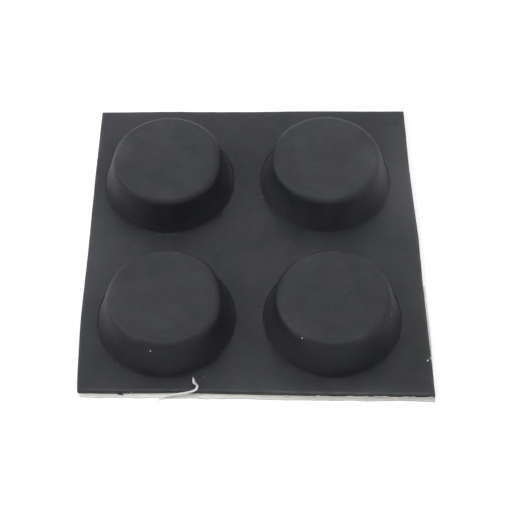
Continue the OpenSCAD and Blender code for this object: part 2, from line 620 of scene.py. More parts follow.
@dataclass(frozen=True)
class CoatedPaper(SolidFinish):
    """White release paper, calendered and coated with silicone.

    To the eye it is a neutral white with faint fibres along the web of the paper machine, a
    smooth, low sheen, and a grey tinge in the patches that the bloom attribute gives.
    """

    colour: str = "#f6f6f4"
    fibre_colour: str = "#dcdcd7"
    grey_tinge: str = "#a9a89d"
    fibre_length: float = 1.6
    fibre_width: float = 0.16
    relief_depth: float = 0.015
    coat: float = 0.2
    coat_roughness: float = 0.35

    def surface(self, add: Adder, place: Node) -> Feeds:
        """Add the nodes of the paper.

        Args:
            add: Adds a node to the material.
            place: Node that gives Object coordinates in millimetres.

        Returns:
            What the shader's inputs get.
        """
        drawn = (1 / self.fibre_length, 1 / self.fibre_width, 1 / self.fibre_width)
        along = add("ShaderNodeMapping", {"Vector": place, "Scale": drawn})
        fibres = add(
            "ShaderNodeTexNoise",
            {"Vector": along, "Scale": 1.0, "Detail": 4.0, "Distortion": 0.6},
        )
        share = add("ShaderNodeMapRange", {"Value": fibres, "From Min": 0.4, "From Max": 0.7})
        clean = {0: share, 6: linear(self.colour), 7: linear(self.fibre_colour)}
        # Greyer where the bloom attribute says so, in patches along the front edge
        greyed_share = add("ShaderNodeAttribute", attribute_name=BLOOM_AND_LIGHT).outputs["Fac"]
        greyed = {
            0: greyed_share,
            6: add("ShaderNodeMix", clean, data_type="RGBA"),
            7: linear(self.grey_tinge),
        }
        return {
            "Base Color": add("ShaderNodeMix", greyed, data_type="RGBA"),
            "Coat Weight": self.coat,
            "Coat Roughness": self.coat_roughness,
            "Height": fibres,
        }


@dataclass(frozen=True)
class MottledFinish(SolidFinish):
    """Finish whose tone drifts between two colours.

    Attributes:
        colour: The one colour.
        other: The other colour.
        patch: Size of the patches.
        detail: How finely the patches break up.
    """

    colour: str = "#ffffff"
    other: str = "#ffffff"
    patch: float = 1.0
    detail: float = 1.0

    def surface(self, add: Adder, place: Node) -> Feeds:
        """Add the nodes of the two tones, and of a relief if there is one.

        Args:
            add: Adds a node to the material.
            place: Node that gives Object coordinates in millimetres.

        Returns:
            What the shader's inputs get.
        """
        blots = {"Vector": place, "Scale": 1 / self.patch, "Detail": self.detail}
        mottling = add("ShaderNodeTexNoise", blots)
        tones = {0: mottling, 6: linear(self.colour), 7: linear(self.other)}
        feeds = {"Base Color": add("ShaderNodeMix", tones, data_type="RGBA")}
        return feeds | ({"Height": mottling} if self.relief_depth else {})


@dataclass(frozen=True)
class AcrylicAdhesive(MottledFinish):
    """Clear acrylic transfer adhesive, cast as a film.

    To the eye it is a thin straw-coloured line with a wet gloss where the die has squeezed it,
    cloudy from tiny bubbles.
    """

    colour: str = "#f4f2e9"
    other: str = "#c4c1b2"
    patch: float = 0.5
    detail: float = 3.0
    relief_depth: float = 0.02
    relief_strength: float = 0.6
    roughness: float = 0.32
    gloss_index: float = 1.47


@dataclass(frozen=True)
class SettledDust(MottledFinish):
    """Paper and skin dust that the rubber has picked up.

    To the eye each grain is a dull, pale speck.
    """

    colour: str = "#6f6f6d"
    other: str = "#55565a"
    patch: float = 0.9
    roughness: float = 0.9
    gloss_index: float = 1.4


@dataclass(frozen=True)
class StudioBoard(Finish):
    """Matt white board of the studio floor.

    To the eye it is plain white up to the object's soft shadow, also where it runs away from
    the lamps into the backdrop.
    """

    colour: str = "#e7e7e7"
    lift: float = 0.4
    far_lift: float = 0.9
    near: float = 120.0
    far: float = 900.0

    def shade(self, add: Adder, place: Node) -> Node:
        """Add the nodes of the board.

        Args:
            add: Adds a node to the material.
            place: Node that gives Object coordinates in millimetres.

        Returns:
            The shader.
        """
        board = add("ShaderNodeBsdfDiffuse", {"Color": linear(self.colour)})
        lift = add(
            "ShaderNodeMapRange",
            {
                "Value": add("ShaderNodeVectorMath", {0: place}, operation="LENGTH"),
                "From Min": self.near,
                "From Max": self.far,
                "To Min": self.lift,
                "To Max": self.far_lift,
            },
        )
        strength = add("ShaderNodeMath", {0: seen_directly(add), 1: lift}, operation="MULTIPLY")
        glow = {"Color": linear("#ffffff"), "Strength": strength}
        glowing = add("ShaderNodeEmission", glow)
        return add("ShaderNodeAddShader", {0: board, 1: glowing})


def seen_directly(add: Adder) -> Node:
    """Tell rays of sight, mirror and glass from rays that light a surface.

    Args:
        add: Adds a node to the tree.

    Returns:
        The node that gives one for the former and zero for the latter.
    """
    ray = add("ShaderNodeLightPath").outputs
    mirrored = {0: ray["Is Glossy Ray"], 1: ray["Is Transmission Ray"]}
    seen = {0: ray["Is Camera Ray"], 1: add("ShaderNodeMath", mirrored, operation="MAXIMUM")}
    return add("ShaderNodeMath", seen, operation="MAXIMUM")


class Palette:
    """The finishes as materials, each built once."""

    def __init__(self) -> None:
        """Build the materials."""
        self.foot = MouldedRubber("moulded_foot_rubber").build()
        self.web = MouldedRubber(
            "moulded_web_rubber", colour="#1a1f21", other="#1f1f25", grain=0.6, cloud=7.0
        ).build()
        self.adhesive = AcrylicAdhesive("cast_acrylic_adhesive").build()
        self.paper = CoatedPaper("silicone_coated_paper").build()
        # The dust finish also colours the pale bits that paint glints
        self.dust = SettledDust("settled_dust_and_glints").build()
        self.crumb = SettledDust("torn_paper_crumb", colour="#f2f1ec", other="#cfccc2").build()
        self.board = StudioBoard("matt_studio_board").build()


# ---------------------------------------------------------------- shapes by rule


class Kind(Enum):
    """Types of a rule's inputs."""

    LENGTH = "NodeSocketFloat"
    COUNT = "NodeSocketInt"
    ARROW = "NodeSocketVector"


class ShapeRule:
    """A Geometry Nodes tree with named inputs, run into a plain mesh."""

    def __init__(self, name: str, sizes: dict[Kind, Sequence[str]]) -> None:
        """Start the tree.

        Args:
            name: Name of the tree.
            sizes: Names of the inputs of each type.
        """
        self.tree = bpy.data.node_groups.new(name, "GeometryNodeTree")
        self.identifiers: dict[str, str] = {}
        labels = {label: kind.value for kind, names in sizes.items() for label in names}
        sockets = self.tree.interface
        sockets.new_socket("Geometry", in_out="INPUT", socket_type="NodeSocketGeometry")
        for label, kind in {**labels, "Material": "NodeSocketMaterial"}.items():
            socket = sockets.new_socket(label, in_out="INPUT", socket_type=kind)
            self.identifiers[label] = socket.identifier
        sockets.new_socket("Geometry", in_out="OUTPUT", socket_type="NodeSocketGeometry")
        self.add = partial(add_node, self.tree)
        self.given = self.add("NodeGroupInput").outputs

    def choice(self, data_type: str, options: Sequence[Any]) -> Node:
        """Pick a value by the number of the point.

        Args:
            data_type: Type of the values.
            options: Value or node for each point.

        Returns:
            The node that gives the picked value.
        """
        switch = self.add("GeometryNodeIndexSwitch", data_type=data_type)
        for _ in range(len(options) - 2):
            switch.index_switch_items.new()
        feed(switch, dict(enumerate([self.add("GeometryNodeInputIndex"), *options])))
        return switch

    def close(self, geometry: Node) -> None:
        """End the tree with realized, smooth and dressed geometry.

        Args:
            geometry: Node that gives the geometry.
        """
        real = self.add("GeometryNodeRealizeInstances", {0: geometry})
        smooth = self.add("GeometryNodeSetShadeSmooth", {0: real})
        dressed = {"Geometry": smooth, "Material": self.given["Material"]}
        self.add("NodeGroupOutput", {0: self.add("GeometryNodeSetMaterial", dressed)})

    def run(
        self,
        name: str,
        base: ID,
        material: Material,
        lengths: dict[str, float],
        plain: dict[str, Any],
    ) -> Object:
        """Run the tree on a mesh or curve.

        Args:
            name: Name of the piece.
            base: Data that the tree starts from.
            material: Finish of the piece.
            lengths: Inputs that are lengths, in millimetres.
            plain: The other inputs.

        Returns:
            The result as a plain mesh object.
        """
        carrier = put(name + "_rule", base)
        modifier = carrier.modifiers.new("rule", "NODES")
        modifier.node_group = self.tree
        in_metres = {label: length * MM for label, length in lengths.items()}
        for label, value in {**in_metres, **plain, "Material": material}.items():
            modifier[self.identifiers[label]] = value
        graph = bpy.context.evaluated_depsgraph_get()
        mesh = bpy.data.meshes.new_from_object(carrier.evaluated_get(graph), depsgraph=graph)
        mesh.name = name
        mesh.materials.clear()
        mesh.materials.append(material)
        mesh.polygons.foreach_set("material_index", [0] * len(mesh.polygons))
        piece = put(name, mesh)
        carrier.modifiers.remove(modifier)
        bpy.data.objects.remove(carrier)
        return piece


def foot_rule() -> ShapeRule:
    """Turn the profile of a foot round its axis.

    The profile runs from the middle of the underside out to the flange, over the flange, up the
    taper and in to the middle of the top. Its corners are rounded.

    Returns:
        The rule.
    """
    rule = ShapeRule(
        "turned_foot",
        {
            Kind.LENGTH: (
                "Flange Radius", "Flange Thickness", "Base Radius", "Top Radius", "Dent Depth",
                "Dent Direction", "Dent Reach", "Full Height", "Clean Height", "Cut Round",
                "Base Fillet", "Top Round", "Unevenness", "Seed",
            ),
            Kind.COUNT: ("Turns", "Round Cuts", "Straight Cuts"),
            Kind.ARROW: ("Axis",),
        },
    )
    add, given = rule.add, rule.given
    flange_r, flange_t = given["Flange Radius"], given["Flange Thickness"]
    base_r, top_r, height = given["Base Radius"], given["Top Radius"], given["Full Height"]
    corners = (
        (0.0, 0.0), (flange_r, 0.0), (flange_r, flange_t), (base_r, flange_t), (top_r, height),
        (0.0, height),
    )
    points = [add("ShaderNodeCombineXYZ", dict(enumerate(corner))) for corner in corners]
    # One more point low on the taper keeps more rows of faces near the base
    taper = {0: 0.2, 4: points[3], 5: points[4]}
    points.insert(4, add("ShaderNodeMix", taper, data_type="VECTOR"))
    cut_round = given["Cut Round"]
    rounds = (0.0, cut_round, cut_round, given["Base Fillet"], 0.0, given["Top Round"], 0.0)
    line = add("GeometryNodeMeshLine", {"Count": len(points)})
    curve = add("GeometryNodeMeshToCurve", {0: line})
    bent = add("GeometryNodeSetPosition", {0: curve, "Position": rule.choice("VECTOR", points)})
    fillets = {0: bent, "Count": given["Round Cuts"], "Limit Radius": True}
    fillets["Radius"] = rule.choice("FLOAT", rounds)
    filleted = add("GeometryNodeFilletCurve", fillets, mode="POLY")
    profile = add("GeometryNodeSubdivideCurve", {0: filleted, "Cuts": given["Straight Cuts"]})

    # Each row of a grid is one turn of one profile point
    size = add("GeometryNodeAttributeDomainSize", {0: profile}, component="CURVE")
    around = add("ShaderNodeMath", {0: given["Turns"], 1: 1.0}, operation="ADD")
    sides = {"Size X": 1.0, "Size Y": 1.0}
    counts = {"Vertices X": size.outputs["Point Count"], "Vertices Y": around}
    grid = add("GeometryNodeMeshGrid", {**sides, **counts})
    number = add("GeometryNodeInputIndex")
    share = add("ShaderNodeMath", {0: number, 1: around}, operation="DIVIDE")
    row = add("ShaderNodeMath", {0: share}, operation="FLOOR")
    column = add("ShaderNodeMath", {0: number, 1: around}, operation="MODULO")
    turn = add("ShaderNodeMath", {0: column, 1: given["Turns"]}, operation="DIVIDE")
    angle = add("ShaderNodeMath", {0: turn, 1: math.tau}, operation="MULTIPLY")
    sampled = add(
        "GeometryNodeSampleIndex",
        {0: profile, 1: add("GeometryNodeInputPosition"), 2: row},
        data_type="FLOAT_VECTOR",
        domain="POINT",
    )
    out, up, _ = add("ShaderNodeSeparateXYZ", {0: sampled}).outputs

    # On one side the wall stands a little further in and flares out to the flange
    from_dent = add("ShaderNodeMath", {0: angle, 1: given["Dent Direction"]}, operation="SUBTRACT")
    facing_dent = add("ShaderNodeMath", {0: from_dent}, operation="COSINE")
    away = add("ShaderNodeMath", {0: facing_dent}, operation="ARCCOSINE")
    near = {"Value": away, "From Max": given["Dent Reach"], "To Min": 1.0, "To Max": 0.0}
    flare = {0: flange_t, 1: given["Dent Depth"]}
    flare_end = add("ShaderNodeMath", flare, operation="ADD")
    flared = {"Value": up, "From Min": flange_t, "From Max": flare_end}
    nearness, rise = (
        add("ShaderNodeMapRange", span, interpolation_type="SMOOTHSTEP") for span in (near, flared)
    )
    share_in = add("ShaderNodeMath", {0: nearness, 1: rise}, operation="MULTIPLY")
    depth_in = add("ShaderNodeMath", {0: given["Dent Depth"], 1: base_r}, operation="DIVIDE")
    inward = add("ShaderNodeMath", {0: share_in, 1: depth_in}, operation="MULTIPLY")
    kept = add("ShaderNodeMath", {0: 1.0, 1: inward}, operation="SUBTRACT")
    radius = add("ShaderNodeMath", {0: out, 1: kept}, operation="MULTIPLY")
    spot: Feeds = {2: up}
    for axis, wave in enumerate(("COSINE", "SINE")):
        part = add("ShaderNodeMath", {0: angle}, operation=wave)
        spot[axis] = add("ShaderNodeMath", {0: radius, 1: part}, operation="MULTIPLY")
    turned = add("ShaderNodeCombineXYZ", spot)
    placed = add("ShaderNodeVectorMath", {0: turned, 1: given["Axis"]}, operation="ADD")
    outward = add("GeometryNodeFlipFaces", {0: grid})
    shell = add("GeometryNodeSetPosition", {0: outward, "Position": placed})
    closed = add("GeometryNodeMergeByDistance", {0: shell, "Distance": WELD})

    # The mould isn't perfect: the taper and the top wander a little, the underside stays flat
    where, facing = add("GeometryNodeInputPosition"), add("GeometryNodeInputNormal")
    wave_length = 4.5 * MM
    waves = {"Vector": where, "W": given["Seed"], "Scale": 1 / wave_length, "Detail": 2.0}
    wander = add("ShaderNodeTexNoise", waves, noise_dimensions="4D")
    either_way = add("ShaderNodeMath", {0: wander, 1: 0.5}, operation="SUBTRACT")
    upward = add("ShaderNodeSeparateXYZ", {0: facing}).outputs["Z"]
    moulded = add("ShaderNodeMapRange", {"Value": upward, "From Min": 0.05, "From Max": 0.2})
    uneven = {0: either_way, 1: given["Unevenness"]}
    depth = add("ShaderNodeMath", uneven, operation="MULTIPLY")
    # It fades out towards the cut, which the knife keeps clean
    level = add("ShaderNodeSeparateXYZ", {0: where}).outputs["Z"]
    span = {"Value": level, "From Min": given["Clean Height"], "From Max": height}
    fading = add("ShaderNodeMath", {0: add("ShaderNodeMapRange", span)}, operation="SQRT")
    faded = add("ShaderNodeMath", {0: depth, 1: fading}, operation="MULTIPLY")
    masked = add("ShaderNodeMath", {0: faded, 1: moulded}, operation="MULTIPLY")
    push = add("ShaderNodeVectorMath", {0: facing, "Scale": masked}, operation="SCALE")
    rule.close(add("GeometryNodeSetPosition", {0: closed, "Offset": push}))
    return rule


def dust_rule() -> ShapeRule:
    """Scatter lumpy grains over what faces up on a surface.

    Returns:
        The rule.
    """
    lengths = ("Grains Per Area", "Smallest", "Largest", "Least Slope")
    rule = ShapeRule("scattered_grains", {Kind.LENGTH: lengths, Kind.COUNT: ("Seed",)})
    add, given = rule.add, rule.given
    seed = {"Seed": given["Seed"]}
    facing = add("ShaderNodeSeparateXYZ", {0: add("GeometryNodeInputNormal")})
    open_side = add(
        "FunctionNodeCompare",
        {0: facing.outputs["Z"], 1: given["Least Slope"]},
        data_type="FLOAT",
        operation="GREATER_THAN",
    )
    surface = {"Mesh": given["Geometry"], "Selection": open_side, **seed}
    surface["Density"] = given["Grains Per Area"]
    spots = add("GeometryNodeDistributePointsOnFaces", surface, distribute_method="RANDOM")
    ball = add("GeometryNodeMeshIcoSphere", {"Radius": 0.5, "Subdivisions": 2})
    where = add("GeometryNodeInputPosition")
    lumps = add("ShaderNodeTexNoise", {"Vector": where, "Scale": 2.3, "Detail": 1.0})
    lumpy = add(
        "ShaderNodeMapRange", {"Value": lumps, "From Min": 0.25, "From Max": 0.75, "To Min": 0.45}
    )
    lump = add("ShaderNodeVectorMath", {0: where, "Scale": lumpy}, operation="SCALE")
    grain = add("GeometryNodeSetPosition", {0: ball, "Position": lump})
    # A cube of a random share makes many small grains and few large ones
    chance, turn = (
        add("FunctionNodeRandomValue", {2: 0.0, 3: most, **seed}, data_type="FLOAT")
        for most in (1.0, math.tau)
    )
    rare = add("ShaderNodeMath", {0: chance, 1: 3.0}, operation="POWER")
    span = {"Value": rare, "To Min": given["Smallest"], "To Max": given["Largest"]}
    size = add("ShaderNodeMapRange", span)
    forms = {0: (0.5, 0.5, 0.25), 1: (1.3, 0.9, 0.6), **seed}
    form = add("FunctionNodeRandomValue", forms, data_type="FLOAT_VECTOR")
    about = add("ShaderNodeCombineXYZ", {2: turn})
    grains = {
        "Points": spots,
        "Instance": grain,
        "Rotation": add("FunctionNodeEulerToRotation", {0: about}),
        "Scale": add("ShaderNodeVectorMath", {0: form, "Scale": size}, operation="SCALE"),
    }
    rule.close(add("GeometryNodeInstanceOnPoints", grains))
    return rule


def ribbon_rule() -> ShapeRule:
    """Sweep a flat, thick-edged section along a curve whose radius and tilt say how wide it is.

    Returns:
        The rule.
    """
    lengths = ("Width", "Thickness", "Fraying", "Seed")
    rule = ShapeRule("swept_ribbon", {Kind.LENGTH: lengths, Kind.COUNT: ("Steps",)})
    add, given = rule.add, rule.given
    smooth = add("GeometryNodeCurveSplineType", {0: given["Geometry"]}, spline_type="CATMULL_ROM")
    steps = {"Curve": smooth, "Count": given["Steps"]}
    fine = add("GeometryNodeResampleCurve", steps, mode="COUNT")
    level = add("GeometryNodeSetCurveNormal", {0: fine}, mode="Z_UP")
    section = add("GeometryNodeCurvePrimitiveCircle", {"Resolution": 16, "Radius": 0.5})
    size = add("ShaderNodeCombineXYZ", {0: given["Width"], 1: given["Thickness"], 2: 1.0})
    flat = add("GeometryNodeTransform", {"Geometry": section, "Scale": size})
    sweep = {"Curve": level, "Profile Curve": flat, "Fill Caps": True}
    swept = add("GeometryNodeCurveToMesh", {**sweep, "Scale": add("GeometryNodeInputRadius")})
    fray_length = 0.35 * MM
    waves = {"W": given["Seed"], "Scale": 1 / fray_length, "Detail": 2.0}
    waves["Vector"] = add("GeometryNodeInputPosition")
    frays = add("ShaderNodeTexNoise", waves, noise_dimensions="4D").outputs["Color"]
    either_way = add("ShaderNodeVectorMath", {0: frays, 1: (0.5,) * 3}, operation="SUBTRACT")
    fraying = {0: either_way, "Scale": given["Fraying"]}
    push = add("ShaderNodeVectorMath", fraying, operation="SCALE")
    rule.close(add("GeometryNodeSetPosition", {0: swept, "Offset": push}))
    return rule


# ---------------------------------------------------------------- feet


@dataclass(frozen=True)
class Dent:
    """Stretch of a foot's wall that stands a little further in.

    Attributes:
        depth: How far in.
        direction: Direction of its middle in degrees, from the right towards the rear.
        reach: Half its width, in degrees.
    """

    depth: float = 0.0
    direction: float = 0.0
    reach: float = 30.0


@dataclass
class RubberFoot:
    """One tapered foot on its cut flange.

    Attributes:
        place: Which of the four feet.
        seed: Seed of its unevenness.
        patches: Patches of bloom, painted highlight and painted shade on it.
        dent: Stretch where its wall stands further in.
        low_wall_lightening: Painted light added at the foot of its wall.
        high_wall_darkening: Painted shade laid on the top of its wall.
        clean_h: Height over the flange that the knife keeps clean.
    """

    place: Place
    seed: float
    patches: tuple[LightAndBloomPatch, ...]
    dent: Dent = Dent()
    low_wall_lightening: float = 0.1
    high_wall_darkening: float = 0.14
    flange_w: float = 0.1
    top_d: float = 17.2
    web_t: float = 0.7
    clean_h: float = 0.1
    cut_round: float = 0.08
    base_fillet: float = 0.01
    top_round: float = 1.3
    unevenness: float = 0.09
    turns: int = 160
    round_cuts: int = 9
    straight_cuts: int = 3

    @property
    def node(self) -> str:
        """Name of the foot's node."""
        return f"foot_{self.place.value}"

    def build(self, rule: ShapeRule, material: Material) -> Object:
        """Turn the foot.

        Args:
            rule: Rule that turns a profile.
            material: Rubber.

        Returns:
            The piece.
        """
        low, high = box_mm(self.node)
        x, y, _ = (low + high) / 2
        flange_r = float(high[0] - low[0]) / 2
        lengths = {
            "Flange Radius": flange_r,
            "Flange Thickness": self.web_t,
            "Base Radius": flange_r - self.flange_w,
            "Top Radius": self.top_d / 2,
            "Dent Depth": self.dent.depth,
            "Full Height": high[2] - low[2],
            "Clean Height": low[2] + self.web_t + self.clean_h,
            "Cut Round": self.cut_round,
            "Base Fillet": self.base_fillet,
            "Top Round": self.top_round,
            "Unevenness": self.unevenness,
        }
        plain = {
            "Dent Direction": math.radians(self.dent.direction),
            "Dent Reach": math.radians(self.dent.reach),
            "Axis": (x * MM, y * MM, low[2] * MM),
            "Turns": self.turns,
            "Round Cuts": self.round_cuts,
            "Straight Cuts": self.straight_cuts,
            "Seed": self.seed,
        }
        start = bpy.data.meshes.new("start")
        piece = rule.run(f"rubber_{self.node}", start, material, lengths, plain)
        lay_bloom_and_light(piece, self.patches)
        mark_walls(piece, self.low_wall_lightening, self.high_wall_darkening)
        enlist(piece, Slot.FOOT, self.node)
        return piece


# Patches above zero paint highlights on the outer walls and rims, those below zero paint shade
# on front walls and tops, the rest add bloom; the wall lightening and darkening is painted shading
FEET = (
    RubberFoot(
        Place.REAR_LEFT,
        seed=7.0,
        dent=Dent(0.6, 0, 40),
        patches=rows(
            LightAndBloomPatch,
            (-13, 20, 6, 0.1), (-22.9, 14, 3.5, 0.24), (-22.3, 15.6, 2, 0.42),
            (-12.6, 4.6, 1.2, 0.06),
        ),
    ),
    RubberFoot(
        Place.REAR_RIGHT,
        seed=14.0,
        dent=Dent(0.4, 170, 28),
        low_wall_lightening=0.2,
        high_wall_darkening=0.07,
        patches=rows(
            LightAndBloomPatch,
            (13, 20, 6, 0.08), (23.2, 11, 4, 0.45), (22.7, 15.2, 1.6, 0.3), (13, 6, 4, 0.05),
            (12.8, 4.4, 1.2, 0.08),
        ),
    ),
    RubberFoot(
        Place.FRONT_LEFT,
        seed=21.0,
        dent=Dent(0.55, 7, 36),
        patches=rows(
            LightAndBloomPatch,
            (-22.9, -12.5, 3.5, 0.2), (-22.2, -10.5, 1.6, 0.3), (-12.4, -23, 5, -0.06),
            (-12, -18.8, 2.4, 0.07), (-5.6, -6.9, 2.6, -0.09),
        ),
    ),
    RubberFoot(
        Place.FRONT_RIGHT,
        seed=28.0,
        patches=rows(
            LightAndBloomPatch,
            (22.6, -10.9, 1.5, 0.28), (22, -13, 1.4, 0.1), (16.6, -20.5, 0.9, 0.1),
            (4.6, -18.6, 3, 0.06), (13, -23.5, 4.5, -0.08), (13.2, -12.5, 6, -0.025),
        ),
    ),
)


# ---------------------------------------------------------------- closed lines


@dataclass(frozen=True)
class Ring(Spot):
    """Round hole in the sheet."""

    radius: float

    def circle(self, grow: float, facets: int) -> np.ndarray:
        """Give the points of the hole's edge.

        Args:
            grow: How far outside the edge.
            facets: Number of points.

        Returns:
            The points, anticlockwise.
        """
        angles = np.arange(facets) * math.tau / facets
        reach = self.radius + grow
        return np.column_stack([self.x + reach * np.cos(angles), self.y + reach * np.sin(angles)])


def top_loops(frame: dict[str, Any], node: str) -> list[np.ndarray]:
    """Read the edges of a node's flat top.

    Args:
        frame: The loaded frame.
        node: Name of the node.

    Returns:
        The points of each closed edge in millimetres, the longest first, anticlockwise.
    """
    least_upward, close_to = 0.99, 0.01 * MM
    level = box_mm(node)[1][2] * MM
    copy = bmesh.new()
    copy.from_mesh(frame["nodes"][node].data)
    bmesh.ops.remove_doubles(copy, verts=copy.verts, dist=WELD)
    copy.normal_update()
    flat = {
        face
        for face in copy.faces
        if face.normal.z > least_upward and abs(face.calc_center_median().z - level) < close_to
    }
    after: dict[int, list[int]] = {}
    spots = {vertex.index: vertex.co.copy() for vertex in copy.verts}
    for face in flat:
        for loop in face.loops:
            if sum(other in flat for other in loop.edge.link_faces) == 1:
                after.setdefault(loop.vert.index, []).append(loop.link_loop_next.vert.index)
    copy.free()
    loops = []
    while after:
        start = min(after)
        chain = [start]
        step = after.pop(start)[0]
        while step != start:
            chain.append(step)
            step = after.pop(step)[0]
        points = np.array([[spots[i].x / MM, spots[i].y / MM] for i in chain])
        if signed_area(points) < 0:
            points = points[::-1]
        loops.append(points)
    return sorted(loops, key=lambda points: -signed_area(points))


def signed_area(points: np.ndarray) -> float:
    """Give a polygon's area, positive where it runs anticlockwise."""
    following = np.roll(points, -1, axis=0)
    return float(np.sum(points[:, 0] * following[:, 1] - following[:, 0] * points[:, 1]) / 2)


def evenly(points: np.ndarray, step: float) -> np.ndarray:
    """Add points along the long sides of a closed line.

    Args:
        points: Corners of the line.
        step: Longest side that stays whole.

    Returns:
        The corners with the added points.
    """
    result = []
    for here, there in zip(points, np.roll(points, -1, axis=0)):
        parts = max(1, math.ceil(float(np.linalg.norm(there - here)) / step))
        result.extend(here + (there - here) * part / parts for part in range(parts))
    return np.array(result)


def inside_of(points: np.ndarray, inset: float, sharpest: float = 0.5) -> np.ndarray:
    """Move a closed, anticlockwise line inwards.

    Args:
        points: Points of the line.
        inset: How far.
        sharpest: Least spread at a corner, which keeps a sharp one from running far in.

    Returns:
        The moved points.
    """
    ahead = np.roll(points, -1, axis=0) - points
    ahead /= np.linalg.norm(ahead, axis=1, keepdims=True)
    inward = np.column_stack([-ahead[:, 1], ahead[:, 0]])
    middle = inward + np.roll(inward, 1, axis=0)
    middle /= np.linalg.norm(middle, axis=1, keepdims=True)
    spread = np.maximum(np.sum(middle * inward, axis=1, keepdims=True), sharpest)
    return points + middle * inset / spread


def rounded(radius: float, steps: int = 4) -> Profile:
    """Give the profile of a rounded top edge.

    Args:
        radius: Radius of the round.
        steps: Number of its facets.

    Returns:
        Distance in from the edge and height over the top, from the edge inwards.
    """
    angles = [step * math.pi / 2 / steps for step in range(steps + 1)]
    return tuple((radius * (1 - math.cos(a)), -radius * (1 - math.sin(a))) for a in angles)


def front_edge(
    frame: dict[str, Any], step: float = 0.45, front_part: float = 0.4
) -> Callable[[float], float]:
    """Follow the web's front edge.

    Args:
        frame: The loaded frame.
        step: Distance between the points that it is read at.
        front_part: How far in front of the middle it lies, as a part of the web's depth.

    Returns:
        A function that gives how far to the rear the edge lies at a distance to the right.
    """
    outline = evenly(top_loops(frame, "web_sheet")[0], step)
    depths = outline[:, 1]
    front = outline[depths < np.mean(depths) - front_part * np.ptp(depths)]
    across, along = front[np.argsort(front[:, 0])].T
    return lambda x: float(np.interp(x, across, along))


# ---------------------------------------------------------------- web and liner


